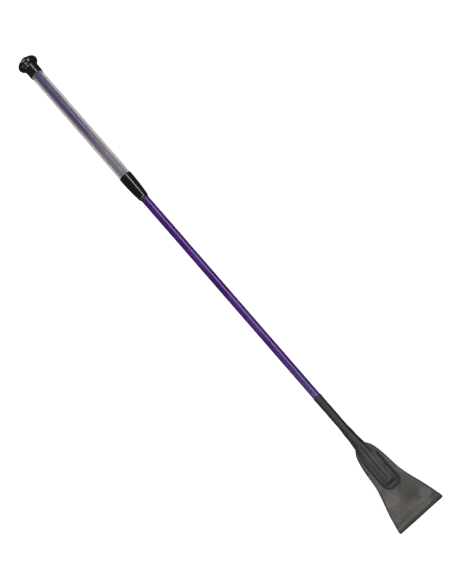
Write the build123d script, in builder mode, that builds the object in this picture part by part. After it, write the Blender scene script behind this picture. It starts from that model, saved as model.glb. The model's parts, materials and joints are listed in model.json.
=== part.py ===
from build123d import *
import os

# Riding crop, lying flat. X runs along the shaft from the knob to the flap, and +Z is the
# flap's front face. The origin is on the shaft's axis, at the middle of the exposed grip.

# lengths along X
grip_length = 151.0         # exposed grip, between knob and ferrule
ferrule_length = 33.0
shaft_length = 280.0        # exposed purple shaft, between ferrule and binding
binding_length = 67.0
flap_length = 94.0          # from the end of the binding to the folded edge
knob_length = 21.0          # the cap without its button
button_height = 4.0

# rod and its cover
core_diameter = 6.0
cover_handle_diameter = 9.2
cover_tip_diameter = 9.0
rod_end_setback = 46.0      # how far the rod runs into the flap, from the binding's end
butt_seat_depth = 14.0      # how deep the butt sits in the knob

# grip
grip_diameter = 14.5
grip_wall = 1.2
grip_spigot_step = 0.55     # how much lower the spigots stand than the grip's surface
grip_spigot_length = 9.0

# ferrule
ferrule_rim_step = 0.2      # how far its rear rim stands above the grip
ferrule_front_diameter = 11.6
ferrule_belly = 0.37        # how far its side swells above a straight cone
ferrule_belly_setback = 21.0
ferrule_nose = 2.0
nose_lip = 0.15
nose_round = 0.8
rim_round = 0.3

# knob, button and screw
collar_rim_step = 0.55      # how far the collar's rim stands above the grip
collar_step = 0.75          # and its other end
collar_length = 9.5
bulge_setback = 7.1         # from the collar's end to the crest of the bulge
bulge_diameter = 23.8
flare_share = 0.45          # share of that stretch that is hollow, before it turns round
knob_face_diameter = 13.8
groove_share = 0.42         # place of the ring groove on the rounded shoulder
groove_radius = 0.4
button_diameter = 12.6
button_rim = 0.9
recess_diameter = 8.0
plug_length = 1.6
screw_diameter = 3.0
screw_length = 18.0
screw_head_diameter = 6.0
screw_head_height = 2.0
screw_head_round = 0.5
screw_slot = 0.8
screw_end_gap = 1.0
knob_web = 2.4

# binding at the flap end
sleeve_wall = 0.2
sleeve_bead_wall = 0.45
sleeve_bead_length = 2.2
sleeve_bead_fall = 1.3
sleeve_step = 1.5           # length over which it climbs on to the tabs
tab_length = 18.0
tab_skive = 0.3             # thickness that the leather tabs are pared to
tab_waist = 10.0            # pared stretch that the whipping lies on
whipping_thread = 0.35
whipping_pitch = 0.55
whipping_turns = 13

# flap leather
ply = 1.5
tip_cap_wall = 0.35
tip_cap_length = 8.0
tip_cap_end = 1.2
ridge_fall = 4.4            # length over which the leather comes down past the rod's end
neck_half_width = 6.25
shoulder_half_width = 13.8
shoulder_fullness = 0.58    # share of the widening done in its first third
shoulder_setback = 21.3
waist_half_width = 16.8
waist_setback = 45.6
flare_half_width = 25.3
flare_setback = 74.0
edge_half_width = 30.0
corner_radius = 2.5
fold_diameter = 4.5
fold_taper = 9.0
slit = 0.12                 # gap between the two plies of the free end
bend_setback = 58.0         # the line that the free end bends about
bend_gap = 0.3

# stitching
seam_half_width = 9.5
seam_start_setback = 15.7
seam_end_setback = 53.6
seam_corner = 4.0
seam_round = 1.5
stitch_count = 24
thread_diameter = 0.9
groove_depth = 0.5
stitch_groove_width = 1.3

# clearances
glue_gap = 0.05             # bond line, each side
thread_gap = 0.02

# places along X
grip_front = grip_length / 2
grip_back = -grip_length / 2
ferrule_front = grip_front + ferrule_length
binding_start = ferrule_front + shaft_length
neck = binding_start + binding_length
fold_edge = neck + flap_length
bend_line = neck + bend_setback
rod_end = neck + rod_end_setback
butt = grip_back - butt_seat_depth
knob_face = grip_back - knob_length

# radii shared by pieces that fit together
grip_r = grip_diameter / 2
grip_bore_r = grip_r - grip_wall
spigot_r = grip_r - grip_spigot_step
ferrule_rear_r = grip_r + ferrule_rim_step
ferrule_front_r = ferrule_front_diameter / 2
core_r = core_diameter / 2
cover_handle_r = cover_handle_diameter / 2
cover_tip_r = cover_tip_diameter / 2
tab_inner_r = cover_tip_r + glue_gap
tab_waist_r = tab_inner_r + tab_skive
ridge_r = tab_inner_r + ply
tip_cap_r = cover_tip_r + glue_gap + tip_cap_wall
tip_cap_start = rod_end - tip_cap_length
tip_cap_nose = rod_end + glue_gap + tip_cap_end
cap_ridge_r = tip_cap_r + glue_gap + ply
sleeve_over_tabs_r = ridge_r + glue_gap
sleeve_over_whipping_r = tab_waist_r + glue_gap + whipping_thread + glue_gap
tab_start = neck - tab_length
tab_waist_end = tab_start + tab_waist
inner_face = glue_gap / 2

os.makedirs("parts", exist_ok=True)


def finish(piece, name):
    piece.part.label = name
    export_step(piece.part, f"parts/{name}.step")


def half_section(points):
    """The face inside a closed outline of (x, r) points, for turning about the shaft's axis."""
    with BuildSketch(Plane.XZ) as section:
        with BuildLine():
            Polyline(*points, close=True)
        make_face()
    return section.sketch


# glass-fibre rod, drilled at the butt for the knob's screw
screw_reach = screw_length - knob_web
with BuildPart() as core_rod:
    with BuildSketch(Plane.YZ.offset(butt)):
        Circle(core_r)
    extrude(amount=rod_end - butt)
    with BuildSketch(Plane.YZ.offset(butt)):
        Circle(screw_diameter / 2)
    extrude(amount=screw_reach, mode=Mode.SUBTRACT)
finish(core_rod, "core_rod")

# purple cover, parallel in the grip and slightly tapered from the ferrule to the binding
bore_r = core_r + glue_gap
with BuildPart() as shaft_cover:
    outline = [
        (butt, bore_r),
        (butt, cover_handle_r),
        (ferrule_front, cover_handle_r),
        (binding_start, cover_tip_r),
        (rod_end, cover_tip_r),
        (rod_end, bore_r),
    ]
    revolve(half_section(outline), axis=Axis.X)
finish(shaft_cover, "shaft_cover")

# soft cap over the rod's cut end, inside the flap
with BuildPart() as rod_tip_cap:
    outline = [
        (tip_cap_start, cover_tip_r + glue_gap),
        (tip_cap_start, tip_cap_r),
        (tip_cap_nose, tip_cap_r),
        (tip_cap_nose, 0),
        (rod_end + glue_gap, 0),
        (rod_end + glue_gap, cover_tip_r + glue_gap),
    ]
    revolve(half_section(outline), axis=Axis.X)
    nose_edge = rod_tip_cap.edges().filter_by(GeomType.CIRCLE).sort_by(Axis.X)[-1]
    fillet(nose_edge, radius=tip_cap_end * 0.8)
finish(rod_tip_cap, "rod_tip_cap")

# clear tube of the grip, standing off the shaft, with a thinner spigot at each end that
# plugs into the ring-shaped sockets of the knob and the ferrule
with BuildPart() as grip_sleeve:
    with BuildSketch(Plane.YZ):
        Circle(grip_r)
    extrude(amount=grip_length / 2, both=True)
    with BuildSketch(Plane.YZ):
        Circle(spigot_r)
    extrude(amount=grip_length / 2 + grip_spigot_length, both=True)
    with BuildSketch(Plane.YZ):
        Circle(grip_bore_r)
    extrude(amount=grip_length / 2 + grip_spigot_length, both=True, mode=Mode.SUBTRACT)
finish(grip_sleeve, "grip_sleeve")

# ferrule, a slightly bellied cone with a socket for the grip's spigot
pocket_r = spigot_r + glue_gap
boss_r = grip_bore_r - glue_gap
pocket_depth = grip_spigot_length + glue_gap
shaft_bore_r = cover_handle_r + glue_gap
with BuildPart() as ferrule:
    with BuildSketch(Plane.XZ):
        with BuildLine():
            rear_rim = Vector(grip_front + glue_gap, ferrule_rear_r)
            front_rim = Vector(ferrule_front - ferrule_nose, ferrule_front_r)
            belly_share = ferrule_belly_setback / (ferrule_length - ferrule_nose)
            belly = rear_rim + (front_rim - rear_rim) * belly_share + Vector(0, ferrule_belly)
            nose = Vector(ferrule_front, shaft_bore_r + nose_lip)
            ThreePointArc(rear_rim, belly, front_rim)
            Line(front_rim, nose)
            Line(nose, (ferrule_front, shaft_bore_r))
            Line((ferrule_front, shaft_bore_r), (grip_front + glue_gap, shaft_bore_r))
            Line((grip_front + glue_gap, shaft_bore_r), rear_rim)
        make_face()
    revolve(axis=Axis.X)
    with BuildSketch(Plane.YZ.offset(grip_front)):
        Circle(pocket_r)
        Circle(boss_r, mode=Mode.SUBTRACT)
    extrude(amount=pocket_depth, mode=Mode.SUBTRACT)
    rims = ferrule.edges().filter_by(GeomType.CIRCLE)
    rear_edge = rims.group_by(Axis.X)[0].sort_by(SortBy.RADIUS)[-1]
    fillet(rear_edge, radius=rim_round)
    front_edge = rims.filter_by(lambda e: abs(e.radius - ferrule_front_r) < glue_gap / 2)
    fillet(front_edge, radius=nose_round)
finish(ferrule, "ferrule")

# knob: collar, hollow flare, bulge with a ring groove in its shoulder, recess for the button
collar_end = grip_back - collar_length
recess_r = recess_diameter / 2
recess_floor = butt - glue_gap - knob_web
with BuildPart() as end_cap:
    with BuildSketch(Plane.XZ):
        with BuildLine():
            rim = Vector(grip_back - glue_gap, grip_r + collar_rim_step)
            collar_top = Vector(collar_end, grip_r + collar_step)
            crest = Vector(collar_end - bulge_setback, bulge_diameter / 2)
            flare_top = collar_top + (crest - collar_top) * flare_share
            face_rim = Vector(knob_face, knob_face_diameter / 2)
            Line(rim, collar_top)
            TangentArc(collar_top, flare_top, tangent=(-1, 0))
            TangentArc(crest, flare_top, tangent=(1, 0))
            shoulder = TangentArc(crest, face_rim, tangent=(-1, 0))
            Line(face_rim, (knob_face, 0))
            Line((knob_face, 0), (grip_back - glue_gap, 0))
            Line((grip_back - glue_gap, 0), rim)
        make_face()
    revolve(axis=Axis.X)
    with BuildSketch(Plane.YZ.offset(grip_back)):
        Circle(pocket_r)
        Circle(boss_r, mode=Mode.SUBTRACT)
    extrude(amount=-pocket_depth, mode=Mode.SUBTRACT)
    with BuildSketch(Plane.YZ.offset(grip_back)):
        Circle(shaft_bore_r)
    extrude(amount=-(butt_seat_depth + glue_gap), mode=Mode.SUBTRACT)
    with BuildSketch(Plane.YZ.offset(grip_back)):
        Circle(screw_diameter / 2 + glue_gap)
    extrude(amount=-knob_length, mode=Mode.SUBTRACT)
    with BuildSketch(Plane.YZ.offset(knob_face)):
        Circle(recess_r)
    extrude(amount=recess_floor - knob_face, mode=Mode.SUBTRACT)
    groove_centre = shoulder @ groove_share
    with BuildSketch(Plane.XZ):
        with Locations((groove_centre.X, groove_centre.Y)):
            Circle(groove_radius)
    revolve(axis=Axis.X, mode=Mode.SUBTRACT)
    collar_rims = end_cap.edges().filter_by(GeomType.CIRCLE).group_by(Axis.X)[-1]
    fillet(collar_rims.sort_by(SortBy.RADIUS)[-1], radius=rim_round)
finish(end_cap, "end_cap")

# screw through the knob's web into the rod, its slotted head under the button
head_top = recess_floor - screw_head_height
with BuildPart() as cap_screw:
    with BuildSketch(Plane.YZ.offset(recess_floor)):
        Circle(screw_head_diameter / 2)
    extrude(amount=-screw_head_height)
    fillet(cap_screw.edges().sort_by(Axis.X)[0], radius=screw_head_round)
    with BuildSketch(Plane.YZ.offset(recess_floor)):
        Circle(screw_diameter / 2 - thread_gap)
    extrude(amount=screw_length - screw_end_gap)
    with BuildSketch(Plane.YZ.offset(head_top)):
        Rectangle(screw_head_diameter, screw_slot)
    extrude(amount=screw_head_height / 2, mode=Mode.SUBTRACT)
finish(cap_screw, "cap_screw")

# domed button with a plug that presses into the knob's recess
button_r = button_diameter / 2
button_seat = knob_face - glue_gap
with BuildPart() as cap_button:
    with BuildSketch(Plane.XZ):
        with BuildLine():
            rim_top = (button_seat - button_rim, button_r)
            crown = (knob_face - button_height, 0)
            Line((button_seat, 0), (button_seat, button_r))
            Line((button_seat, button_r), rim_top)
            TangentArc(crown, rim_top, tangent=(0, 1))
            Line(crown, (button_seat, 0))
        make_face()
    revolve(axis=Axis.X)
    with BuildSketch(Plane.YZ.offset(button_seat)):
        Circle(recess_r - glue_gap)
    extrude(amount=plug_length)
finish(cap_button, "cap_button")

# thin sleeve drawn down over the shaft, the leather tabs and their whipping
with BuildPart() as binding_sleeve:
    shaft_seat_r = cover_tip_r + glue_gap
    bead_end = binding_start + sleeve_bead_length
    bead_r = shaft_seat_r + sleeve_bead_wall
    inner_line = [
        (binding_start, shaft_seat_r),
        (tab_start - sleeve_step, shaft_seat_r),
        (tab_start, sleeve_over_whipping_r),
        (tab_waist_end, sleeve_over_whipping_r),
        (neck, sleeve_over_tabs_r),
    ]
    outer_line = [(x, r + sleeve_wall) for x, r in inner_line[1:]]
    bead = [
        (bead_end + sleeve_bead_fall, shaft_seat_r + sleeve_wall),
        (bead_end, bead_r),
        (binding_start + sleeve_bead_length / 3, bead_r),
        (binding_start, shaft_seat_r + sleeve_wall),
    ]
    revolve(half_section(inner_line + outer_line[::-1] + bead), axis=Axis.X)
finish(binding_sleeve, "binding_sleeve")

# thread whipped round the pared tabs, each turn a ring
whipping_span = (whipping_turns - 1) * whipping_pitch
whipping_start = tab_start + (tab_waist - whipping_span) / 2
whipping_r = tab_waist_r + glue_gap + whipping_thread / 2
with BuildPart() as tab_whipping:
    with BuildSketch(Plane.XZ):
        for turn in range(whipping_turns):
            with Locations((whipping_start + turn * whipping_pitch, whipping_r)):
                Circle(whipping_thread / 2)
    revolve(axis=Axis.X)
finish(tab_whipping, "tab_whipping")

# outline of the whole flap, from the binding's end to the folded edge
with BuildSketch() as flap_outline:
    with BuildLine():
        shoulder_rise = shoulder_fullness * (shoulder_half_width - neck_half_width)
        side_points = [
            (neck, neck_half_width),
            (neck + shoulder_setback / 3, neck_half_width + shoulder_rise),
            (neck + shoulder_setback, shoulder_half_width),
            (neck + waist_setback, waist_half_width),
            (neck + flare_setback, flare_half_width),
            (fold_edge, edge_half_width),
        ]
        side = Spline(*side_points)
        Line((fold_edge, edge_half_width), (fold_edge, 0))
        Line((fold_edge, 0), (neck, 0))
        Line((neck, 0), (neck, neck_half_width))
    make_face()
    mirror(about=Plane.XZ)
    fillet(flap_outline.vertices().group_by(Axis.X)[-1], radius=corner_radius)

# the seam's path, a U with cut corners round the rod's end
seam_start = neck + seam_start_setback
seam_end = neck + seam_end_setback
with BuildLine() as seam:
    FilletPolyline(
        (seam_start, -seam_half_width),
        (seam_end - seam_corner, -seam_half_width),
        (seam_end, -seam_half_width + seam_corner),
        (seam_end, seam_half_width - seam_corner),
        (seam_end - seam_corner, seam_half_width),
        (seam_start, seam_half_width),
        radius=seam_round,
    )
holes = [seam.line @ (i / stitch_count) for i in range(stitch_count + 1)]

# front ply: stitched sheet, ridge over the rod, pared half-round tab under the binding
seat_r = ply + bend_gap
ply_top = inner_face + ply
beyond = 2 * flap_length    # reaches past the flap on every side
with BuildPart() as flap_front_ply:
    with BuildSketch(Plane.XY.offset(inner_face)):
        add(flap_outline.sketch)
        with Locations((bend_line, 0)):
            Rectangle(beyond, 2 * beyond, align=(Align.MIN, Align.CENTER), mode=Mode.SUBTRACT)
    extrude(amount=ply)
    outline = [
        (tab_start, 0),
        (tab_start, tab_waist_r),
        (tab_waist_end, tab_waist_r),
        (neck, ridge_r),
        (tip_cap_start - ply, ridge_r),
        (tip_cap_start, cap_ridge_r),
        (tip_cap_nose, cap_ridge_r),
        (tip_cap_nose + ridge_fall, 0),
    ]
    revolve(half_section(outline), axis=Axis.X)
    split(bisect_by=Plane.XY.offset(inner_face), keep=Keep.TOP)
    with BuildSketch(Plane.XZ):
        with BuildLine():
            Polyline(
                (tab_start, 0),
                (tab_start, tab_inner_r),
                (tip_cap_start - glue_gap, tab_inner_r),
                (tip_cap_start - glue_gap, tip_cap_r + glue_gap),
                (tip_cap_nose + glue_gap, tip_cap_r + glue_gap),
                (tip_cap_nose + glue_gap, 0),
                close=True,
            )
        make_face()
    revolve(axis=Axis.X, mode=Mode.SUBTRACT)
    with BuildSketch(Plane.XZ):
        with Locations((bend_line, 0)):
            Circle(seat_r)
    extrude(amount=2 * edge_half_width, both=True, mode=Mode.SUBTRACT)
    for start, end in zip(holes, holes[1:]):
        run = end - start
        middle = (start + end) / 2 + Vector(0, 0, ply_top)
        with BuildSketch(Plane(origin=middle, x_dir=run, z_dir=(0, 0, 1))):
            SlotCenterToCenter(run.length, stitch_groove_width)
        extrude(amount=-groove_depth, mode=Mode.SUBTRACT)
    with BuildSketch(Plane.XY):
        with Locations(*holes):
            Circle(thread_diameter / 2)
    extrude(amount=2 * ply, mode=Mode.SUBTRACT)
finish(flap_front_ply, "flap_front_ply")

with BuildPart() as flap_back_ply:
    mirror(objects=flap_front_ply.part, about=Plane.XY)
finish(flap_back_ply, "flap_back_ply")

# needle thread: a bar along each stitch, joined by a leg down each hole to the middle
thread_r = thread_diameter / 2
knuckle_r = thread_r + thread_gap
thread_height = ply_top - groove_depth + thread_gap + knuckle_r
leg_r = thread_r - thread_gap
with BuildPart() as needle_thread:
    for start, end in zip(holes, holes[1:]):
        run = end - start
        stitch_plane = Plane(origin=start + Vector(0, 0, thread_height), x_dir=(0, 0, 1), z_dir=run)
        with BuildSketch(stitch_plane):
            Circle(thread_r)
        extrude(amount=run.length)
    with Locations(*[hole + Vector(0, 0, thread_height) for hole in holes]):
        Sphere(knuckle_r)
    with BuildSketch(Plane.XY.offset(inner_face)):
        with Locations(*holes):
            Circle(leg_r)
    extrude(amount=thread_height - inner_face)
finish(needle_thread, "needle_thread")

with BuildPart() as bobbin_thread:
    mirror(objects=needle_thread.part, about=Plane.XY)
finish(bobbin_thread, "bobbin_thread")

# free end: the same leather folded back on itself, rounded where it bends
fold_r = fold_diameter / 2
fold_centre = fold_edge - fold_r
with BuildPart() as flap_blade:
    with BuildSketch():
        add(flap_outline.sketch)
        with Locations((bend_line - seat_r, 0)):
            Rectangle(beyond, 2 * beyond, align=(Align.MAX, Align.CENTER), mode=Mode.SUBTRACT)
    extrude(amount=2 * fold_r, both=True)
    with BuildSketch(Plane.XZ) as fold_section:
        with Locations((bend_line, 0)):
            Circle(ply)
        with BuildLine():
            Polyline(
                (bend_line, -ply),
                (fold_centre - fold_taper, -ply),
                (fold_centre, -fold_r),
                (fold_centre, fold_r),
                (fold_centre - fold_taper, ply),
                (bend_line, ply),
                close=True,
            )
        make_face()
        with Locations((fold_centre, 0)):
            Circle(fold_r)
            Circle(fold_r - ply, mode=Mode.SUBTRACT)
        with Locations((bend_line + fold_taper / 2, 0)):
            Rectangle(
                fold_centre - bend_line - fold_taper / 2,
                slit,
                align=(Align.MIN, Align.CENTER),
                mode=Mode.SUBTRACT,
            )
    extrude(amount=2 * edge_half_width, both=True, mode=Mode.INTERSECT)
finish(flap_blade, "flap_blade")
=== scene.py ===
import json
import math

import bmesh
import bpy
from mathutils import Matrix, Vector, noise


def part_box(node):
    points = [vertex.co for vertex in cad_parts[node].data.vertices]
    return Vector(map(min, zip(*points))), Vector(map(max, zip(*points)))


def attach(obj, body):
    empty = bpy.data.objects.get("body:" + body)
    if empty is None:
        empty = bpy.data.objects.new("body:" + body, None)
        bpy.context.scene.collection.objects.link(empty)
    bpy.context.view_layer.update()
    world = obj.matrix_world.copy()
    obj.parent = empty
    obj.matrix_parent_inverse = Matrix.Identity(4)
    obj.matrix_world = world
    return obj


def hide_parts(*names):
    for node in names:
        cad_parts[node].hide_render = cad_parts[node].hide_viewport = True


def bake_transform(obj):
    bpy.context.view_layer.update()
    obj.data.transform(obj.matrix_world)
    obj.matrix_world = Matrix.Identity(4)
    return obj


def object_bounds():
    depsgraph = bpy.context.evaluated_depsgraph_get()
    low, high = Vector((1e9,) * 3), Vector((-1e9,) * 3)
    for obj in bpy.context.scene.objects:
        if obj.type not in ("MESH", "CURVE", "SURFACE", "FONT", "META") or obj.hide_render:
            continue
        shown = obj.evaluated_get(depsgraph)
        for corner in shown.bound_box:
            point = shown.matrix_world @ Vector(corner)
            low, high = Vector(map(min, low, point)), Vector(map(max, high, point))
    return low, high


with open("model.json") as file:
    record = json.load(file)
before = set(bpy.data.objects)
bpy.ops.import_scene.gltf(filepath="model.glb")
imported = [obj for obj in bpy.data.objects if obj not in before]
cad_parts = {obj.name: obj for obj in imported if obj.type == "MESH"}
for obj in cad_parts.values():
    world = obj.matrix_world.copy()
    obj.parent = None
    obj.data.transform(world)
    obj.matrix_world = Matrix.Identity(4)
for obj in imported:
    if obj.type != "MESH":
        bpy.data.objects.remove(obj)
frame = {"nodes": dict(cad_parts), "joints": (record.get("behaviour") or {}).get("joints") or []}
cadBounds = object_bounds()
mm = 0.001

# places along the crop, read from the frame
knobLow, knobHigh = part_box("end_cap")
buttonLow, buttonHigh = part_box("cap_button")
ferruleLow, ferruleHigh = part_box("ferrule")
tubeLow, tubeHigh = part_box("grip_sleeve")
coverLow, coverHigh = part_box("shaft_cover")
sleeveLow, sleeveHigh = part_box("binding_sleeve")
seamLow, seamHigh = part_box("needle_thread")
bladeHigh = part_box("flap_blade")[1]
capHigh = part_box("rod_tip_cap")[1]
bendLine = frame["joints"][0]["pos_m"][0]
flapLimit = math.radians(max(abs(limit) for limit in frame["joints"][0]["range_deg"]))
neck = sleeveHigh.x
gripBack = knobHigh.x
gripFront = ferruleLow.x


# making meshes

def finishMesh(name, bm, material, body, nodes, smooth=True):
    mesh = bpy.data.meshes.new(name)
    for face in bm.faces:
        face.smooth = smooth
    bm.to_mesh(mesh)
    bm.free()
    piece = bpy.data.objects.new(name, mesh)
    bpy.context.scene.collection.objects.link(piece)
    mesh.materials.append(material)
    if body:
        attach(piece, body)
    if nodes:
        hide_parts(*nodes)
    return piece


def wire(bm, points, close=False):
    # a line of vertices in the XZ plane, each point an (x, r) pair in metres
    verts = [bm.verts.new((x, 0, r)) for x, r in points]
    for a, b in zip(verts, verts[1:]):
        bm.edges.new((a, b))
    if close:
        bm.edges.new((verts[-1], verts[0]))
    return verts


def roundCorner(bm, vert, radius, segments=4):
    bmesh.ops.bevel(bm, geom=[vert], offset=radius, segments=segments, profile=0.5,
                    affect="VERTICES", material=-1)


def turn(bm, segments):
    # spins the profile about the shaft's axis and closes its seam and poles
    bmesh.ops.spin(bm, geom=bm.verts[:] + bm.edges[:], cent=(0, 0, 0), axis=(1, 0, 0),
                   angle=math.tau, steps=segments, use_merge=True)
    bmesh.ops.remove_doubles(bm, verts=bm.verts, dist=0.004 * mm)
    bmesh.ops.recalc_face_normals(bm, faces=bm.faces)


def arcPoints(start, direction, end, count):
    # points of the arc that leaves start along direction and passes through end, without start
    (x0, r0), (x1, r1) = start, end
    chord = Vector((x1 - x0, r1 - r0))
    lead = Vector(direction).normalized()
    half = lead.angle_signed(chord)
    points = []
    for i in range(1, count + 1):
        part = i / count
        length = chord.length * math.sin(half * part) / math.sin(half)
        heading = Matrix.Rotation(-half * part, 2) @ lead
        points.append((x0 + heading.x * length, r0 + heading.y * length))
    return points


def smoothStep(low, high, value):
    t = min(max((value - low) / (high - low), 0), 1)
    return t * t * (3 - 2 * t)


def bump(distance, width):
    return math.exp(-(distance / width) ** 2)


# shader building blocks

def newGroup(name, inputs, outputs):
    group = bpy.data.node_groups.new(name, "ShaderNodeTree")
    for label, kind, value in inputs:
        socket = group.interface.new_socket(label, in_out="INPUT", socket_type=kind)
        if value is not None:
            socket.default_value = value
    for label, kind in outputs:
        group.interface.new_socket(label, in_out="OUTPUT", socket_type=kind)
    start = group.nodes.new("NodeGroupInput")
    end = group.nodes.new("NodeGroupOutput")
    return group, start, end


def addNode(tree, kind, **values):
    node = tree.nodes.new(kind)
    for key, value in values.items():
        setattr(node, key, value)
    return node


def mathNode(tree, operation, *inputs, clamp=False):
    node = addNode(tree, "ShaderNodeMath", operation=operation, use_clamp=clamp)
    for i, value in enumerate(inputs):
        if isinstance(value, bpy.types.NodeSocket):
            tree.links.new(value, node.inputs[i])
        else:
            node.inputs[i].default_value = value
    return node.outputs[0]


def rangeNode(tree, value, fromLow, fromHigh, toLow, toHigh):
    node = addNode(tree, "ShaderNodeMapRange", interpolation_type="SMOOTHSTEP")
    tree.links.new(value, node.inputs["Value"])
    limits = {"From Min": fromLow, "From Max": fromHigh, "To Min": toLow, "To Max": toHigh}
    for label, number in limits.items():
        if isinstance(number, bpy.types.NodeSocket):
            tree.links.new(number, node.inputs[label])
        else:
            node.inputs[label].default_value = number
    return node.outputs["Result"]


def mixColour(tree, factor, first, second):
    node = addNode(tree, "ShaderNodeMix", data_type="RGBA")
    for place, value in (("Factor", factor), (6, first), (7, second)):
        if isinstance(value, bpy.types.NodeSocket):
            tree.links.new(value, node.inputs[place])
        else:
            node.inputs[place].default_value = value
    return node.outputs[2]


def placed(tree, scale):
    # object coordinates, stretched by scale
    coords = addNode(tree, "ShaderNodeTexCoord")
    mapping = addNode(tree, "ShaderNodeMapping")
    mapping.inputs["Scale"].default_value = scale
    tree.links.new(coords.outputs["Object"], mapping.inputs["Vector"])
    return mapping.outputs["Vector"]


def noiseNode(tree, vector, scale, detail=3.0, roughness=0.5):
    node = addNode(tree, "ShaderNodeTexNoise")
    tree.links.new(vector, node.inputs["Vector"])
    for label, value in (("Scale", scale), ("Detail", detail), ("Roughness", roughness)):
        if isinstance(value, bpy.types.NodeSocket):
            tree.links.new(value, node.inputs[label])
        else:
            node.inputs[label].default_value = value
    return node.outputs["Fac"]


def makeHandling():
    # fine lengthwise scuffs and settled dust, for moulded and lacquered surfaces
    group, start, end = newGroup(
        "handling",
        [("Scuff Scale", "NodeSocketFloat", 900.0), ("Dust Scale", "NodeSocketFloat", 700.0),
         ("Dust Amount", "NodeSocketFloat", 0.5)],
        [("Scuff", "NodeSocketFloat"), ("Dust", "NodeSocketFloat"), ("Patch", "NodeSocketFloat")])
    stretched = placed(group, (0.06, 1, 1))
    even = placed(group, (1, 1, 1))
    scuff = noiseNode(group, stretched, start.outputs["Scuff Scale"], 4.0, 0.6)
    group.links.new(rangeNode(group, scuff, 0.5, 0.72, 0, 1), end.inputs["Scuff"])
    speck = noiseNode(group, even, start.outputs["Dust Scale"], 2.0, 0.4)
    lowered = mathNode(group, "MULTIPLY", start.outputs["Dust Amount"], 0.12)
    limit = mathNode(group, "SUBTRACT", 0.82, lowered)
    dust = rangeNode(group, speck, limit, mathNode(group, "ADD", limit, 0.06), 0, 1)
    group.links.new(dust, end.inputs["Dust"])
    broad = noiseNode(group, even, 45.0, 3.0, 0.55)
    group.links.new(rangeNode(group, broad, 0.35, 0.65, 0, 1), end.inputs["Patch"])
    return group


def makeHideGrain():
    # leather: small pebbles with creases between them, larger soft mottle, and pores
    group, start, end = newGroup(
        "hideGrain",
        [("Pebble Scale", "NodeSocketFloat", 1500.0), ("Mottle Scale", "NodeSocketFloat", 60.0)],
        [("Height", "NodeSocketFloat"), ("Crease", "NodeSocketFloat"), ("Mottle", "NodeSocketFloat")])
    even = placed(group, (1, 1, 1))
    warp = addNode(group, "ShaderNodeTexNoise")
    group.links.new(even, warp.inputs["Vector"])
    warp.inputs["Scale"].default_value = 400.0
    warp.inputs["Detail"].default_value = 2.0
    shift = addNode(group, "ShaderNodeVectorMath", operation="MULTIPLY_ADD")
    group.links.new(warp.outputs["Color"], shift.inputs[0])
    shift.inputs[1].default_value = (0.0009, 0.0009, 0.0009)
    group.links.new(even, shift.inputs[2])
    pebble = addNode(group, "ShaderNodeTexVoronoi", feature="DISTANCE_TO_EDGE")
    group.links.new(shift.outputs["Vector"], pebble.inputs["Vector"])
    group.links.new(start.outputs["Pebble Scale"], pebble.inputs["Scale"])
    rounded = rangeNode(group, pebble.outputs["Distance"], 0.0, 0.28, 0, 1)
    fine = noiseNode(group, even, 5200.0, 3.0, 0.6)
    group.links.new(mathNode(group, "MULTIPLY_ADD", fine, 0.35, rounded), end.inputs["Height"])
    group.links.new(mathNode(group, "SUBTRACT", 1.0, rounded), end.inputs["Crease"])
    mottle = noiseNode(group, even, start.outputs["Mottle Scale"], 4.0, 0.6)
    group.links.new(rangeNode(group, mottle, 0.32, 0.68, 0, 1), end.inputs["Mottle"])
    return group


def makeNetLines():
    # two crossing helices round the X axis, sharp lines with soft sides
    group, start, end = newGroup(
        "netLines",
        [("Turns Round", "NodeSocketFloat", 36.0), ("Pitch", "NodeSocketFloat", 0.00126),
         ("Line Width", "NodeSocketFloat", 0.2)],
        [("Line", "NodeSocketFloat"), ("Knot", "NodeSocketFloat")])
    coords = addNode(group, "ShaderNodeTexCoord")
    split = addNode(group, "ShaderNodeSeparateXYZ")
    group.links.new(coords.outputs["Object"], split.inputs["Vector"])
    angle = mathNode(group, "ARCTAN2", split.outputs["Y"], split.outputs["Z"])
    turned = mathNode(group, "DIVIDE", angle, math.tau)
    around = mathNode(group, "MULTIPLY", turned, start.outputs["Turns Round"])
    along = mathNode(group, "DIVIDE", split.outputs["X"], start.outputs["Pitch"])
    strands = []
    for operation in ("ADD", "SUBTRACT"):
        phase = mathNode(group, operation, along, around)
        apart = mathNode(group, "PINGPONG", phase, 0.5)
        strands.append(rangeNode(group, apart, 0.0, start.outputs["Line Width"], 1, 0))
    group.links.new(mathNode(group, "MAXIMUM", *strands), end.inputs["Line"])
    group.links.new(mathNode(group, "MULTIPLY", *strands), end.inputs["Knot"])
    return group


handling = makeHandling()
hideGrain = makeHideGrain()
netLines = makeNetLines()


def newMaterial(name):
    material = bpy.data.materials.new(name)
    material.use_nodes = True
    tree = material.node_tree
    shader = tree.nodes["Principled BSDF"]
    return material, tree, shader


def useGroup(tree, group, **values):
    node = addNode(tree, "ShaderNodeGroup", node_tree=group)
    for label, value in values.items():
        node.inputs[label.replace("_", " ")].default_value = value
    return node


def useBump(tree, shader, height, distance, strength=1.0):
    node = addNode(tree, "ShaderNodeBump")
    node.inputs["Distance"].default_value = distance
    node.inputs["Strength"].default_value = strength
    tree.links.new(height, node.inputs["Height"])
    tree.links.new(node.outputs["Normal"], shader.inputs["Normal"])


def setShader(shader, **values):
    for label, value in values.items():
        shader.inputs[label.replace("_", " ")].default_value = value


# finishes

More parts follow.
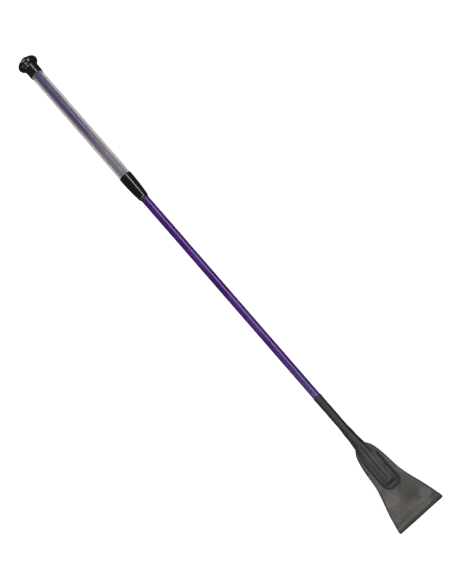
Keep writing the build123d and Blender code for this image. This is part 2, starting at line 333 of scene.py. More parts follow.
def glossMoulding(name, look):
    # polished black moulding, with faint flow waviness, rubbed patches and a little dust
    material, tree, shader = newMaterial(name)
    wear = useGroup(tree, handling, Scuff_Scale=look["scuffScale"], Dust_Amount=look["dust"])
    tone = mixColour(tree, wear.outputs["Patch"], look["deep"], look["lifted"])
    tone = mixColour(tree, wear.outputs["Dust"], tone, look["dustColour"])
    tree.links.new(tone, shader.inputs["Base Color"])
    rough = rangeNode(tree, wear.outputs["Patch"], 0, 1, look["roughLow"], look["roughHigh"])
    scuffed = mathNode(tree, "MULTIPLY_ADD", wear.outputs["Scuff"], look["scuffRough"], rough)
    tree.links.new(scuffed, shader.inputs["Roughness"])
    flow = noiseNode(tree, placed(tree, (1, 1, 1)), look["flowScale"], 2.0, 0.4)
    useBump(tree, shader, flow, look["flowDepth"])
    setShader(shader, IOR=1.5, Coat_Roughness=0.04)
    shader.inputs["Coat Weight"].default_value = look["coat"]
    return material


blackLook = {
    "deep": (0.0040, 0.0042, 0.0058, 1), "lifted": (0.0065, 0.0066, 0.0085, 1),
    "dustColour": (0.05, 0.05, 0.05, 1), "dust": 0.35, "scuffScale": 1600.0,
    "roughLow": 0.13, "roughHigh": 0.22, "scuffRough": 0.06,
    "flowScale": 110.0, "flowDepth": 0.05 * mm, "coat": 0.3,
}
purpleLook = {
    "deep": (0.040, 0.0058, 0.122, 1), "lifted": (0.054, 0.0095, 0.158, 1),
    "dustColour": (0.16, 0.12, 0.20, 1), "dust": 0.25, "scuffScale": 1300.0,
    "roughLow": 0.20, "roughHigh": 0.29, "scuffRough": 0.07,
    "flowScale": 90.0, "flowDepth": 0.04 * mm, "coat": 0.35,
}
blackGloss = glossMoulding("blackMoulding", blackLook)
purpleGloss = glossMoulding("purpleLacquer", purpleLook)


tubeLook = {
    "vinyl": (0.36, 0.35, 0.335, 1), "strand": (0.52, 0.51, 0.50, 1), "yellowed": (0.33, 0.315, 0.295, 1),
    "strandsRound": 36, "lineWidth": 0.24,
    "gapAlpha": 0.01, "strandAlpha": 0.09, "rimAlpha": 0.44, "roughness": 0.32,
}


def clearTubeFinish(pitch):
    # see-through vinyl with a fine raised lattice, hazier where it is seen edge on
    look = tubeLook
    material, tree, shader = newMaterial("clearVinyl")
    net = useGroup(tree, netLines, Turns_Round=look["strandsRound"], Pitch=pitch,
                   Line_Width=look["lineWidth"])
    wear = useGroup(tree, handling, Scuff_Scale=700.0, Dust_Amount=0.4)
    base = mixColour(tree, wear.outputs["Patch"], look["vinyl"], look["yellowed"])
    tree.links.new(mixColour(tree, net.outputs["Line"], base, look["strand"]), shader.inputs["Base Color"])
    facing = addNode(tree, "ShaderNodeLayerWeight")
    facing.inputs["Blend"].default_value = 0.5
    alpha = rangeNode(tree, net.outputs["Line"], 0, 1, look["gapAlpha"], look["strandAlpha"])
    edgeOn = rangeNode(tree, facing.outputs["Facing"], 0.04, 0.5, 0, look["rimAlpha"])
    haze = mathNode(tree, "ADD", edgeOn, alpha, clamp=True)
    dusty = mathNode(tree, "MULTIPLY_ADD", wear.outputs["Dust"], 0.3, haze, clamp=True)
    tree.links.new(dusty, shader.inputs["Alpha"])
    rough = mathNode(tree, "MULTIPLY_ADD", wear.outputs["Patch"], 0.12, look["roughness"])
    tree.links.new(rough, shader.inputs["Roughness"])
    useBump(tree, shader, net.outputs["Line"], 0.06 * mm, 0.6)
    setShader(shader, IOR=1.46)
    return material


sleeveLook = {
    "dark": (0.0065, 0.0067, 0.0090, 1), "worn": (0.013, 0.0132, 0.0170, 1), "fleck": (0.05, 0.05, 0.055, 1),
    "grainScale": 1900.0, "mottleScale": 95.0, "roughLow": 0.40, "roughHigh": 0.58,
}


def sleeveFinish():
    # thin black sleeve, satin, with a fine pebble and rubbed high spots
    look = sleeveLook
    material, tree, shader = newMaterial("blackSleeve")
    hide = useGroup(tree, hideGrain, Pebble_Scale=look["grainScale"], Mottle_Scale=look["mottleScale"])
    wear = useGroup(tree, handling, Scuff_Scale=800.0, Dust_Amount=0.7)
    tone = mixColour(tree, hide.outputs["Mottle"], look["dark"], look["worn"])
    tree.links.new(mixColour(tree, wear.outputs["Dust"], tone, look["fleck"]), shader.inputs["Base Color"])
    tree.links.new(rangeNode(tree, hide.outputs["Mottle"], 0, 1, look["roughLow"], look["roughHigh"]),
                   shader.inputs["Roughness"])
    useBump(tree, shader, hide.outputs["Height"], 0.035 * mm)
    return material


# the rim colour is the dyed cut edge and also painted shade round the fold, along the crown's crease and in
# the dimple; the crease colour is painted shade in the grain's creases
leatherLook = {
    "dark": (0.014, 0.0132, 0.0128, 1), "light": (0.046, 0.0425, 0.0380, 1),
    "brown": (0.070, 0.060, 0.050, 1), "rim": (0.0050, 0.0048, 0.0050, 1),
    "paintedCreaseShade": (0.0090, 0.0086, 0.0085, 1), "pebbleScale": 1350.0, "mottleScale": 42.0,
    "roughLow": 0.25, "roughHigh": 0.42, "grainDepth": 0.04 * mm,
}


def leatherFinish():
    # black bridle leather: pebbled, mottled where the dye has rubbed to brown, burnished at its edges;
    # painted shade darkens the grain's creases, the crown's crease, the dimple and the band round the fold
    look = leatherLook
    material, tree, shader = newMaterial("blackLeather")
    hide = useGroup(tree, hideGrain, Pebble_Scale=look["pebbleScale"], Mottle_Scale=look["mottleScale"])
    broad = noiseNode(tree, placed(tree, (1, 1, 1)), 24.0, 3.0, 0.5)
    tone = mixColour(tree, hide.outputs["Mottle"], look["dark"], look["light"])
    tone = mixColour(tree, rangeNode(tree, broad, 0.45, 0.7, 0, 0.6), tone, look["brown"])
    # the grain's creases painted darker: painted shade
    tone = mixColour(tree, mathNode(tree, "MULTIPLY", hide.outputs["Crease"], 0.55), tone, look["paintedCreaseShade"])
    # the rim attribute darkens the dyed cut edges, and is painted shade round the fold, along the crown's
    # crease and in the dimple
    rim = addNode(tree, "ShaderNodeAttribute", attribute_name="rim")
    tone = mixColour(tree, rim.outputs["Fac"], tone, look["rim"])
    tree.links.new(tone, shader.inputs["Base Color"])
    rough = rangeNode(tree, hide.outputs["Mottle"], 0, 1, look["roughHigh"], look["roughLow"])
    rough = mathNode(tree, "MULTIPLY_ADD", rim.outputs["Fac"], 0.12, rough)
    tree.links.new(rough, shader.inputs["Roughness"])
    useBump(tree, shader, hide.outputs["Height"], look["grainDepth"])
    setShader(shader, IOR=1.48)
    return material


# the light ply colour is a painted glint; the twist pattern itself is the thread's own
threadLook = {"dark": (0.010, 0.010, 0.010, 1), "light": (0.20, 0.20, 0.205, 1), "twistDepth": 0.09 * mm}


def threadFinish():
    # waxed black thread, its twist laid along each stitch; the twist's light plies are a painted glint on
    # the black thread
    look = threadLook
    material, tree, shader = newMaterial("waxedThread")
    uv = addNode(tree, "ShaderNodeTexCoord")
    split = addNode(tree, "ShaderNodeSeparateXYZ")
    tree.links.new(uv.outputs["UV"], split.inputs["Vector"])
    turns = mathNode(tree, "MULTIPLY", split.outputs["X"], 3.0)
    slant = mathNode(tree, "MULTIPLY_ADD", split.outputs["Y"], 5.0, turns)
    ply = rangeNode(tree, mathNode(tree, "PINGPONG", slant, 0.5), 0, 0.5, 0, 1)
    tree.links.new(mixColour(tree, ply, look["dark"], look["light"]), shader.inputs["Base Color"])
    tree.links.new(rangeNode(tree, ply, 0, 1, 0.6, 0.30), shader.inputs["Roughness"])
    useBump(tree, shader, ply, look["twistDepth"])
    return material


def hiddenFinish(name, first, second, roughness, scale, metal=0.0):
    # for the pieces inside: a plain finish with the mottle and fine lines of its stock
    material, tree, shader = newMaterial(name)
    lines = noiseNode(tree, placed(tree, (0.08, 1, 1)), scale, 4.0, 0.6)
    tone = mixColour(tree, rangeNode(tree, lines, 0.3, 0.7, 0, 1), first, second)
    tree.links.new(tone, shader.inputs["Base Color"])
    tree.links.new(rangeNode(tree, lines, 0.3, 0.7, roughness, roughness + 0.15), shader.inputs["Roughness"])
    shader.inputs["Metallic"].default_value = metal
    useBump(tree, shader, lines, 0.02 * mm)
    return material


def dressNode(node, material):
    mesh = frame["nodes"][node].data
    mesh.materials.clear()
    mesh.materials.append(material)


leather = leatherFinish()
blackSleeve = sleeveFinish()
waxedThread = threadFinish()
glassFibre = hiddenFinish("glassFibre", (0.52, 0.50, 0.36, 1), (0.70, 0.68, 0.55, 1), 0.4, 1500.0)
capRubber = hiddenFinish("capRubber", (0.016, 0.016, 0.016, 1), (0.03, 0.03, 0.03, 1), 0.6, 500.0)
zincScrew = hiddenFinish("zincScrew", (0.50, 0.50, 0.48, 1), (0.66, 0.66, 0.65, 1), 0.28, 2500.0, 1.0)
dressNode("core_rod", glassFibre)
dressNode("rod_tip_cap", capRubber)
dressNode("cap_screw", zincScrew)
dressNode("tab_whipping", waxedThread)
print("finishes made")


# shaft cover, a long tube drawn a little finer towards the flap

shaftSize = {
    "segments": 64, "step": 12 * mm, "wall": 1.5 * mm, "edge": 0.2 * mm, "wave": 0.025 * mm,
    "capSkin": 0.4 * mm,
}
shaftTip = capHigh.z - shaftSize["capSkin"]  # the cover's radius at its thin end, just inside its soft cap


def makeShaft():
    size = shaftSize
    rear, tip = coverHigh.z, shaftTip
    bm = bmesh.new()
    count = round((coverHigh.x - coverLow.x) / size["step"])
    outer = []
    for i in range(count + 1):
        x = coverLow.x + (coverHigh.x - coverLow.x) * i / count
        taper = min(max((x - ferruleHigh.x) / (sleeveLow.x - ferruleHigh.x), 0), 1)
        wave = size["wave"] * noise.noise(Vector((x * 40, 0, 0)))
        outer.append((x, rear + (tip - rear) * taper + wave))
    inner = [(coverHigh.x, tip - size["wall"]), (coverLow.x, rear - size["wall"])]
    verts = wire(bm, outer + inner, close=True)
    roundCorner(bm, verts[0], size["edge"])
    turn(bm, size["segments"])
    return finishMesh("shaftCover", bm, purpleGloss, "crop", ["shaft_cover"])


# clear grip tube with a raised diamond lattice

tubeSize = {
    "rows": 120, "relief": 0.09 * mm, "wall": 1.15 * mm, "spigotDrop": 0.55 * mm, "spigotSlope": 0.3 * mm,
    "margin": 0.1 * mm,
}


def makeTube():
    size = tubeSize
    around = 2 * tubeLook["strandsRound"]
    radius = tubeHigh.z - size["relief"]
    rows = 2 * size["rows"]
    bm = bmesh.new()
    points = [(gripBack + (gripFront - gripBack) * i / rows, radius) for i in range(rows + 1)]
    spigot = radius - size["spigotDrop"]
    points = [(tubeLow.x, spigot), (gripBack - size["spigotSlope"], spigot)] + points
    points += [(gripFront + size["spigotSlope"], spigot), (tubeHigh.x, spigot)]
    bore = radius - size["wall"]
    points += [(tubeHigh.x, bore), (tubeLow.x, bore)]
    wire(bm, points, close=True)
    turn(bm, around)
    # raise the crossings of the lattice, and cut each square along the strand that joins them
    step = (gripFront - gripBack) / rows
    margin = size["margin"]

    def isCrossing(vert):
        angle = math.atan2(vert.co.y, vert.co.z) / math.tau * around
        return (round(angle) + round((vert.co.x - gripBack) / step)) % 2 == 0

    outer = [v for v in bm.verts if math.hypot(v.co.y, v.co.z) > radius - margin
             and gripBack - margin < v.co.x < gripFront + margin]
    crossings = {v for v in outer if isCrossing(v)}
    for face in bm.faces[:]:
        ends = [v for v in face.verts if v in crossings]
        if len(face.verts) == 4 and len(ends) == 2:
            bmesh.utils.face_split(face, ends[0], ends[1])
    for vert in crossings:
        vert.co.y *= 1 + size["relief"] / radius
        vert.co.z *= 1 + size["relief"] / radius
    bmesh.ops.recalc_face_normals(bm, faces=bm.faces)
    material = clearTubeFinish((gripFront - gripBack) / size["rows"])
    return finishMesh("gripTube", bm, material, "crop", ["grip_sleeve"])


# ferrule, knob and button, turned from their profiles

ferruleSize = {
    "segments": 96, "steps": 14, "waistPlace": 0.64, "waist": 13.4 / 2 * mm, "front": 11.6 / 2 * mm,
    "nose": 2.0 * mm, "lip": 0.15 * mm, "gap": 0.05 * mm,
    "rim": 0.35 * mm, "noseRound": 0.9 * mm, "lipRound": 0.06 * mm,
}


def makeFerrule():
    size = ferruleSize
    rear, bore = ferruleHigh.z, coverHigh.z + size["gap"]
    low, high = ferruleLow.x, ferruleHigh.x
    front = high - size["nose"]
    # the belly is a parabola through the rim, the waist and the nose
    waistAt = (high - low) * size["waistPlace"] / (front - low)
    swell = size["waist"] - rear - (size["front"] - rear) * waistAt
    outer = []
    for i in range(size["steps"] + 1):
        t = i / size["steps"]
        radius = rear + (size["front"] - rear) * t + swell * t * (1 - t) / (waistAt * (1 - waistAt))
        outer.append((low + (front - low) * t, radius))
    bm = bmesh.new()
    verts = wire(bm, outer + [(high, bore + size["lip"]), (high, bore), (low, bore)], close=True)
    roundCorner(bm, verts[0], size["rim"])
    roundCorner(bm, verts[size["steps"]], size["noseRound"], 6)
    roundCorner(bm, verts[size["steps"] + 1], size["lipRound"], 2)
    turn(bm, size["segments"])
    return finishMesh("ferruleCone", bm, blackGloss, "crop", ["ferrule"])


knobSize = {
    "segments": 128, "collarRim": 15.6 / 2 * mm, "collar": 16.0 / 2 * mm, "collarLength": 9.5 * mm,
    "bulgeSetback": 7.1 * mm, "flareShare": 0.45, "face": 13.8 / 2 * mm,
    "grooveAt": 0.42, "grooveDepth": 0.42 * mm, "grooveWidth": 0.5 * mm, "shoulderLength": 6.9 * mm,
    "rim": 0.3 * mm, "recess": 4.0 * mm, "recessDepth": 3.0 * mm,
}


def makeKnob():
    size = knobSize
    back, face = knobHigh.x, knobLow.x
    collarEnd = gripBack - size["collarLength"]
    collarTop = (collarEnd, size["collar"])
    crest = (collarEnd - size["bulgeSetback"], knobHigh.z)
    flareTop = tuple(a + (b - a) * size["flareShare"] for a, b in zip(collarTop, crest))
    bm = bmesh.new()
    rimPoint = (back, size["collarRim"])
    hollow = arcPoints(collarTop, (-1, 0), flareTop, 7)
    rounded = arcPoints(crest, (1, 0), flareTop, 8)[::-1]
    shoulder = arcPoints(crest, (-1, 0), (face, size["face"]), 24)
    # press the ring groove into the shoulder
    pressed = []
    for i, (x, r) in enumerate(shoulder):
        away = (i + 1) / len(shoulder) - size["grooveAt"]
        cut = size["grooveDepth"] * bump(away * size["shoulderLength"], size["grooveWidth"])
        pressed.append((x + cut * 0.5, r - cut * 0.85))
    points = [rimPoint, collarTop] + hollow + rounded[1:] + [crest] + pressed
    recess = [(face, size["recess"]), (face + size["recessDepth"], size["recess"])]
    points += recess + [(face + size["recessDepth"], 0), (back, 0)]
    verts = wire(bm, points, close=True)
    roundCorner(bm, verts[0], size["rim"])
    turn(bm, size["segments"])
    return finishMesh("knob", bm, blackGloss, "crop", ["end_cap"])


buttonSize = {
    "segments": 96, "rim": 0.9 * mm, "plug": 3.9 * mm, "plugLength": 1.5 * mm, "gap": 0.05 * mm,
    "shoulder": 0.35 * mm, "backRound": 0.15 * mm,
}


def makeButton():
    size = buttonSize
    seat = knobLow.x - size["gap"]
    radius = buttonHigh.z
    bm = bmesh.new()
    rimTop = (seat - size["rim"], radius)
    dome = arcPoints((buttonLow.x, 0), (0, 1), rimTop, 14)
    plugEnd = seat + size["plugLength"]
    plug = [(seat, size["plug"]), (plugEnd, size["plug"]), (plugEnd, 0)]
    verts = wire(bm, [(buttonLow.x, 0)] + dome + [(seat, radius)] + plug)
    roundCorner(bm, verts[len(dome)], size["shoulder"])
    roundCorner(bm, verts[len(dome) + 1], size["backRound"])
    turn(bm, size["segments"])
    return finishMesh("domedButton", bm, blackGloss, "crop", ["cap_button"])


makeShaft()
makeTube()
makeFerrule()
makeKnob()
makeButton()
print("handle and shaft made")


# binding sleeve, drawn down over the shaft, the pared tabs and their whipping

sleeveSize = {
    "segments": 72, "step": 0.45 * mm, "wall": 0.2 * mm, "gap": 0.05 * mm,
    "bead": 0.24 * mm, "beadRise": 0.9 * mm, "beadFall": 1.6 * mm, "beadEnd": 5 * mm,
    "rimDrop": 0.2 * mm, "rimWidth": 0.5 * mm, "tab": 18 * mm, "tabRise": 8 * mm, "waist": 10 * mm,
    "thread": 0.62 * mm, "turnPitch": 0.55 * mm, "turnMark": 0.035 * mm, "flareShare": 0.84,
    "lump": 0.11 * mm, "lumpEnds": 2 * mm, "neckOval": 0.10 * mm, "neckLength": 14 * mm,
    "edgeRound": 0.12 * mm, "innerStride": 12,
}


def sleeveRadius(x):
    size = sleeveSize
    shaft = shaftTip + size["gap"] + size["wall"]
    tabStart = neck - size["tab"]
    waistEnd = tabStart + size["waist"]
    # up over the tabs and their whipping, then wider to the leather's neck
    rise = size["thread"] * smoothStep(tabStart - size["tabRise"], tabStart + 2 * mm, x)
    widest = sleeveHigh.z - shaft - size["thread"]
    flare = widest * smoothStep(waistEnd - 4 * mm, neck + 3 * mm, x) / size["flareShare"]
    # a rolled bead at the start, its rim turned in
    fromStart = x - sleeveLow.x
    bead = size["bead"] * smoothStep(0, size["beadRise"], fromStart)
    bead *= 1 - smoothStep(size["beadFall"], size["beadEnd"], fromStart)
    rim = size["rimDrop"] * bump(fromStart, size["rimWidth"])
    turns = 0
    if tabStart + 1 * mm < x < waistEnd - 1 * mm:
        turns = size["turnMark"] * math.cos(math.tau * x / size["turnPitch"])
    return shaft + rise + min(flare, widest) + bead - rim + turns


def makeSleeve():
    size = sleeveSize
    bm = bmesh.new()
    count = round((neck - sleeveLow.x) / size["step"])
    outer = []
    for i in range(count + 1):
        x = sleeveLow.x + (neck - sleeveLow.x) * i / count
        outer.append((x, sleeveRadius(x)))
    inner = [(x, r - size["wall"]) for x, r in outer[::-size["innerStride"]]]
    verts = wire(bm, outer + inner, close=True)
    roundCorner(bm, verts[count], size["edgeRound"], 2)
    turn(bm, size["segments"])
    for vert in bm.verts:
        radius = math.hypot(vert.co.y, vert.co.z)
        side = Vector((0, vert.co.y, vert.co.z)) / radius
        soft = noise.noise(Vector((vert.co.x * 90, side.y * 1.6, side.z * 1.6)))
        fine = noise.noise(Vector((vert.co.x * 260, side.y * 4, side.z * 4)))
        near = smoothStep(neck - size["neckLength"], neck, vert.co.x)
        oval = size["neckOval"] * near * (side.y ** 2 - side.z ** 2)
        ends = smoothStep(0, size["lumpEnds"], vert.co.x - sleeveLow.x)
        ends *= smoothStep(0, size["lumpEnds"], neck - vert.co.x)
        vert.co += side * (size["lump"] * (0.75 * soft + 0.25 * fine) * ends + oval)
    return finishMesh("bindingSleeve", bm, blackSleeve, "crop", ["binding_sleeve"])


makeSleeve()
print("binding made")


# the flap, one piece of leather folded back on itself

flapSize = {
    "across": 64, "rootStep": 0.5 * mm, "bladeStep": 1.3 * mm, "foldSteps": 10,
    # half widths from the neck to the fold, each a (distance, half width) pair in millimetres
    "outline": [(0, 6.25), (7.1, 10.7), (21.3, 13.8), (45.6, 16.8), (74, 25.3), (94, 30.0)],
    "cornerRound": 2.2, "tuck": 2.0 * mm, "tuckRadius": 0.35 * mm, "ply": 1.4 * mm, "sheet": 1.5 * mm,
    "ridgeStart": 6.05 * mm, "ridge": 6.55 * mm, "ridgeFoot": 9.3 * mm, "ridgeEnd": 44.0 * mm,
    "ridgeFall": 1.15, "footRound": 0.8 * mm, "footFlare": 0.4 * mm,
    "fold": 2.25 * mm, "foldReach": 5.6 * mm, "foldTaper": 7 * mm,
    "crownDepth": 1.35 * mm, "crownWidth": 1.25 * mm, "crownWander": 0.25 * mm,
    "dimple": 1.6 * mm, "dimplePlace": 48.6 * mm, "dimpleSide": 0.3 * mm, "dimpleWidth": 1.8 * mm,
    "stitches": 24, "cornerCut": 4.0 * mm, "seamInset": 0.47 * mm,
    "seamDepth": 0.38 * mm, "seamWidth": 0.75 * mm, "holeDepth": 0.50 * mm, "holeWidth": 0.55 * mm,
    "pillow": 0.14 * mm, "pillowPlace": 1.9 * mm, "pillowWidth": 0.9 * mm,
    "edgeWidth": 1.6 * mm, "edgeDrop": 0.35 * mm, "wave": 1.6 * mm, "ripple": 0.12 * mm,
    "lean": 0.020, "leanStart": 30 * mm, "skew": 0.035,
}


def halfWidth(d):
    # smooth line through the outline's points, all in millimetres from the neck
    outline, corner = flapSize["outline"], flapSize["cornerRound"]
    if d <= 0:
        return outline[0][1] + 0.06 * d
    for i in range(len(outline) - 1):
        (d0, w0), (d1, w1) = outline[i], outline[i + 1]
        if d <= d1:
            slopes = []
            for k in (i, i + 1):
                before, after = outline[max(k - 1, 0)], outline[min(k + 1, len(outline) - 1)]
                slopes.append((after[1] - before[1]) / (after[0] - before[0]))
            step = d1 - d0
            t = (d - d0) / step
            width = ((2 * t ** 3 - 3 * t ** 2 + 1) * w0 + (t ** 3 - 2 * t ** 2 + t) * step * slopes[0]
                     + (3 * t ** 2 - 2 * t ** 3) * w1 + (t ** 3 - t ** 2) * step * slopes[1])
            into = min(max(d - (outline[-1][0] - corner), 0), corner)
            return width - corner + math.sqrt(corner ** 2 - into ** 2)
    return outline[-1][1] - corner


def seamCorners():
    inset, cut = flapSize["seamInset"], flapSize["cornerCut"]
    half = (seamHigh.y - seamLow.y) / 2 - inset
    start, end = seamLow.x + inset, seamHigh.x - inset
    return [Vector(p) for p in ((start, -half), (end - cut, -half), (end, -half + cut),
                                (end, half - cut), (end - cut, half), (start, half))]


def seamHoles(corners, count):
    lengths = [(b - a).length for a, b in zip(corners, corners[1:])]
    total = sum(lengths)
    holes = []
    for i in range(count + 1):
        rest = total * i / count
        for (a, b), length in zip(zip(corners, corners[1:]), lengths):
            if rest <= length + 1e-9:
                holes.append(a + (b - a) * (rest / length))
                break
            rest -= length
    return holes


seam = seamCorners()
seamPoints = seamHoles(seam, flapSize["stitches"])


def seamDistance(point):
    best = 1.0
    for a, b in zip(seam, seam[1:]):
        along = min(max((point - a).dot(b - a) / (b - a).length_squared, 0), 1)
        best = min(best, (point - a - (b - a) * along).length)
    return best


def creaseMarks(d, y):
    # the crease along the crown, widest at the neck, and the dimple past the rod's end, each 0 to 1
    size = flapSize
    fade = 1 - smoothStep(size["ridgeEnd"] - 7 * mm, size["ridgeEnd"] + 1 * mm, d)
    width = size["crownWidth"] * (1 + 0.9 * (1 - smoothStep(0, 20 * mm, d)))
    wander = size["crownWander"] * noise.noise(Vector((d * 70, 3, 0)))
    fromPit = math.hypot(d - size["dimplePlace"], (y - size["dimpleSide"]) * 0.8)
    return fade * bump(y - wander, width), bump(fromPit, size["dimpleWidth"])


def frontHeight(x, y):
    # height of the leather's outer face above the flap's middle plane
    size = flapSize
    d = x - neck
    sheet = size["sheet"]
    # the leather is drawn over the rod like a tent: round on top, then straight down to the seam
    opened = smoothStep(0, 15 * mm, d)
    radius = size["ridgeStart"] + (size["ridge"] - size["ridgeStart"]) * opened
    close = radius + size["footFlare"]
    foot = close + (size["ridgeFoot"] - close) * opened
    past = max(d - size["ridgeEnd"], 0) * size["ridgeFall"]
    away = math.hypot(y, past)
    lean = math.atan2(sheet, foot) + math.acos(radius / math.hypot(sheet, foot))
    touch = radius * math.cos(lean)
    if away < touch:
        crown = math.sqrt(radius ** 2 - away ** 2)
    else:
        crown = radius * math.sin(lean) - (away - touch) / math.tan(lean)
    # the higher of tent and sheet, with a soft hollow where they meet
    apart = crown - sheet
    softened = math.sqrt(apart ** 2 + size["footRound"] ** 2)
    height = 0.5 * (crown + sheet + softened) - (softened - abs(apart)) * 0.25
    line, pit = creaseMarks(d, y)
    height -= size["crownDepth"] * line + size["dimple"] * pit
    # the seam's pressed groove, its holes, and the leather puffed up on both sides of it
    if 8 * mm < d < 60 * mm:
        flat = Vector((x, y))
        fromSeam = seamDistance(flat)
        if fromSeam < 4 * mm:
            fromHole = min((flat - p).length for p in seamPoints)
            height -= size["seamDepth"] * bump(fromSeam, size["seamWidth"])
            height -= size["holeDepth"] * bump(fromHole, size["holeWidth"])
            height += size["pillow"] * bump(fromSeam - size["pillowPlace"], size["pillowWidth"])
    return height


def flapPoint(d, side, y):
    # one point of the outer face: d from the neck, side +1 in front and -1 at the back
    size = flapSize
    foldAt = bladeHigh.x - neck - size["foldReach"]
    x = neck + d
    swell = size["fold"] - size["sheet"]
    height = frontHeight(x, y) + swell * smoothStep(foldAt - size["foldTaper"], foldAt, d)
    # each face is a little uneven, and both plies of the free end share its slow wave
    ripple = noise.noise(Vector((x * 90, y * 90, side * 2.0)))
    height += size["ripple"] * ripple * smoothStep(6 * mm, 20 * mm, d)
    wave = noise.noise(Vector((x * 38, y * 38, 0.7))) * smoothStep(56 * mm, 76 * mm, d)
    return Vector((x, y, side * height + size["wave"] * wave))


def leanAt(d):
    # how far the free leather has drifted to one side
    return flapSize["lean"] * max(d - flapSize["leanStart"], 0)


def makeFlap():
    size = flapSize
    bendAt = bendLine - neck
    foldAt = bladeHigh.x - neck - size["foldReach"]
    root = math.ceil((bendAt + size["tuck"]) / size["rootStep"])
    blade = math.ceil((foldAt - bendAt) / size["bladeStep"])
    stations = [-size["tuck"] + (bendAt + size["tuck"]) * i / root for i in range(root)]
    stations += [bendAt + (foldAt - bendAt) * i / blade for i in range(blade)]
    path = [(d, 1, None) for d in stations]
    path += [(foldAt, 0, math.pi * (0.5 - i / size["foldSteps"])) for i in range(size["foldSteps"] + 1)]
    path += [(d, -1, None) for d in stations[::-1]]
    bm = bmesh.new()
    bmesh.ops.create_grid(bm, x_segments=size["across"], y_segments=len(path) - 1, size=1)
    rim = bm.verts.layers.float.new("rim")
    for vert in bm.verts:
        row = round((vert.co.y + 1) / 2 * (len(path) - 1))
        t = vert.co.x
        d, side, turned = path[row]
        reach = d if turned is None else d + size["foldReach"] * math.cos(turned)
        half = halfWidth(reach / mm) * mm
        y = half * t
        if turned is None:
            point = flapPoint(d, side, y)
        else:
            top, bottom = flapPoint(d, 1, y).z, flapPoint(d, -1, y).z
            rise = (top - bottom) / 2 * math.sin(turned)
            point = Vector((neck + reach, y, (top + bottom) / 2 + rise))
        edge = smoothStep(half - size["edgeWidth"], half - 0.2 * mm, abs(y))
        if d < 0:
            # inside the binding sleeve the two plies lie round the shaft
            radius = sleeveHigh.z - size["tuckRadius"]
            angle = t * math.pi / 2
            lift = max(radius * math.cos(angle), 0.02 * mm)
            point = Vector((neck + d, radius * math.sin(angle), side * lift))
        else:
            # the cut edges are drawn in a little where the two plies are pressed together
            point.z -= side * size["edgeDrop"] * edge * smoothStep(2 * mm, 8 * mm, d)
        point.y += leanAt(reach)
        point.x -= size["skew"] * y * smoothStep(62 * mm, 92 * mm, reach)
        vert.co = point
        # rim mask: the dyed cut edge, plus painted shade in the band round the fold, along the crown's
        # crease and in the dimple
        line, pit = creaseMarks(reach, y)
        paintedFoldShade = smoothStep(foldAt - 1.0 * mm, foldAt + 4.0 * mm, reach)
        vert[rim] = max(edge, 0.95 * paintedFoldShade, 0.9 * line, pit)
    bmesh.ops.recalc_face_normals(bm, faces=bm.faces)
    outward = sum(f.normal.z * (1 if f.calc_center_median().z > 0 else -1) for f in bm.faces)
    if outward < 0:
        bmesh.ops.reverse_faces(bm, faces=bm.faces)
    outer = set(bm.verts)
    bmesh.ops.solidify(bm, geom=bm.faces[:], thickness=size["ply"])
    for vert in bm.verts:
        if vert not in outer:
            vert[rim] = 1.0
    return finishMesh("leatherFlap", bm, leather, None,
                      ["flap_front_ply", "flap_back_ply", "flap_blade"])


flap = makeFlap()
print("flap made", len(flap.data.polygons))


# stitches, each a short twisted bar that dips into its holes

stitchSize = {
    "diameter": 0.95 * mm, "sink": 0.05 * mm, "gap": 0.30 * mm, "bow": 0.28 * mm, "dip": 0.42 * mm,
    "slant": 2.5, "around": 12, "along": 12,
}


def makeStitches(name, side, node):
    size = stitchSize
    bm = bmesh.new()
    for index, (a, b) in enumerate(zip(seamPoints, seamPoints[1:])):
        middle = (a + b) / 2
        run = b - a
        length = run.length - size["gap"]
        height = frontHeight(middle.x, middle.y) - size["sink"] + size["diameter"] * 0.25
        made = bmesh.ops.create_uvsphere(bm, u_segments=size["around"], v_segments=size["along"],
                                         radius=0.5, calc_uvs=True)
        heading = Matrix.Rotation(math.atan2(run.y, run.x), 4, "Z")
        tilt = Matrix.Rotation(math.radians(size["slant"]) * (-1) ** index, 4, "Z")
        for vert in made["verts"]:
            along = vert.co.z * 2
            across = Vector((vert.co.x, vert.co.y))
            if across.length > 1e-6:
                # square the ends of the bar a little
                across *= (1 - abs(along) ** 3) ** 0.4 / max(across.length * 2, 1e-6)
            bow = size["bow"] * (1 - along ** 2) - size["dip"] * abs(along) ** 3
            across *= size["diameter"]
            place = heading @ tilt @ Vector((along * length / 2, across.x, across.y + bow))
            drift = leanAt(middle.x - neck)
            vert.co = Vector((place.x + middle.x, place.y + middle.y + drift, side * (place.z + height)))
    bmesh.ops.recalc_face_normals(bm, faces=bm.faces)
    return finishMesh(name, bm, waxedThread, "crop", [node])


makeStitches("frontStitches", 1, "needle_thread")
makeStitches("backStitches", -1, "bobbin_thread")
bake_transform(flap)
print("stitching made")


# floor, light and camera

stageSize = {
    "floor": 9.0, "clear": 6 * mm, "floorGlow": 0.42,
    "floorColour": (0.90, 0.90, 0.90, 1), "floorPatch": (0.87, 0.87, 0.87, 1),
    "worldColour": (0.96, 0.97, 1.0, 1), "world": 0.07, "worldSeen": 0.55,
}


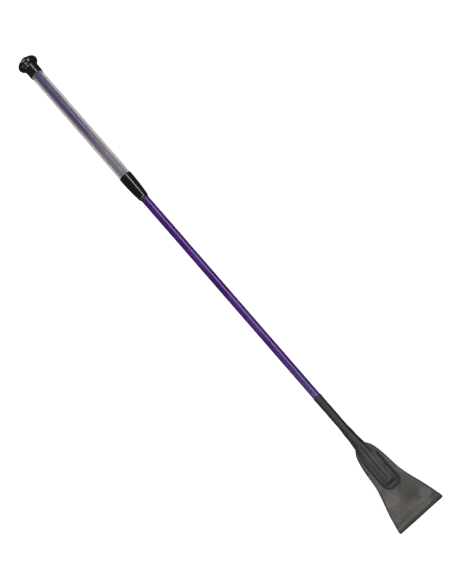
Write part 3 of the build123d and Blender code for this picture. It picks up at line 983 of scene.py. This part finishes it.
def makeFloor():
    # the crop hangs level over the floor, high enough for the flap to bend down to its limit
    height = -(bladeHigh.x - bendLine) * math.sin(flapLimit) - stageSize["clear"]
    bm = bmesh.new()
    bmesh.ops.create_grid(bm, x_segments=2, y_segments=2, size=stageSize["floor"] / 2)
    for vert in bm.verts:
        vert.co.z = height
    mesh = bpy.data.meshes.new("floor")
    bm.to_mesh(mesh)
    bm.free()
    floor = bpy.data.objects.new("floor", mesh)
    bpy.context.scene.collection.objects.link(floor)
    material, tree, shader = newMaterial("paleFloor")
    tone = noiseNode(tree, placed(tree, (1, 1, 1)), 3.0, 2.0, 0.4)
    colour = mixColour(tree, tone, stageSize["floorColour"], stageSize["floorPatch"])
    tree.links.new(colour, shader.inputs["Base Color"])
    setShader(shader, Roughness=0.85, Emission_Color=(1, 1, 1, 1), Emission_Strength=stageSize["floorGlow"])
    mesh.materials.append(material)
    floor.visible_glossy = False
    return floor


def areaLight(name, place, target, size, power, colour=(1, 1, 1)):
    light = bpy.data.lights.new(name, "AREA")
    light.shape = "RECTANGLE"
    light.size, light.size_y = size
    light.energy = power
    light.color = colour
    lamp = bpy.data.objects.new(name, light)
    bpy.context.scene.collection.objects.link(lamp)
    lamp.location = place
    lamp.rotation_euler = (Vector(target) - Vector(place)).to_track_quat("-Z", "Y").to_euler()
    return lamp


def makeLights():
    world = bpy.data.worlds.new("studio")
    bpy.context.scene.world = world
    world.use_nodes = True
    # dim as a light, so that black gloss stays black, and as pale as the far floor where it is seen
    back = world.node_tree.nodes["Background"]
    back.inputs["Color"].default_value = stageSize["worldColour"]
    seen = addNode(world.node_tree, "ShaderNodeLightPath").outputs["Is Camera Ray"]
    lift = stageSize["worldSeen"] - stageSize["world"]
    strength = mathNode(world.node_tree, "MULTIPLY_ADD", seen, lift, stageSize["world"])
    world.node_tree.links.new(strength, back.inputs["Strength"])
    middle = Vector(((cadBounds[0][0] + cadBounds[1][0]) / 2, 0, 0))
    areaLight("keyStrip", middle + Vector((0.0, 1.15, 1.45)), middle, (2.6, 0.62), 26)
    areaLight("knobEnd", middle + Vector((-1.9, -0.25, 1.15)), middle, (1.2, 1.3), 20)
    areaLight("flapEnd", middle + Vector((1.9, -0.25, 1.15)), middle, (1.2, 1.3), 10)
    flapMiddle = Vector((bendLine, 0, 0))
    areaLight("flapSoft", flapMiddle + Vector((0.27, -0.22, 1.65)), flapMiddle, (0.42, 0.8), 9,
              (1, 0.965, 0.92))
    areaLight("ridgeFill", flapMiddle + Vector((0.25, -1.15, 0.65)), flapMiddle, (0.9, 0.5), 3)


cameraSize = {
    "lens": 61.0, "distance": 1.05, "direction": (0.12, 0.12, 0.98), "line": 49.0, "aim": (0.243, 0.0, 0.0),
}


def makeCamera():
    size = cameraSize
    camera = bpy.data.cameras.new("camera")
    camera.lens = size["lens"]
    camera.sensor_width = 36
    camera.clip_start = 0.01
    holder = bpy.data.objects.new("camera", camera)
    bpy.context.scene.collection.objects.link(holder)
    target = Vector(size["aim"])
    back = Vector(size["direction"]).normalized()
    # roll the camera so that the shaft runs down the picture to the right
    flat = (Vector((1, 0, 0)) - back * back.x).normalized()
    line = math.radians(size["line"])
    right = flat * math.cos(line) + back.cross(flat) * math.sin(line)
    up = back.cross(right)
    turned = Matrix((right, up, back)).transposed().to_4x4()
    holder.matrix_world = Matrix.Translation(target + back * size["distance"]) @ turned
    bpy.context.scene.camera = holder


makeFloor()
makeLights()
makeCamera()
bpy.context.scene.view_settings.view_transform = "Standard"
print("stage set")
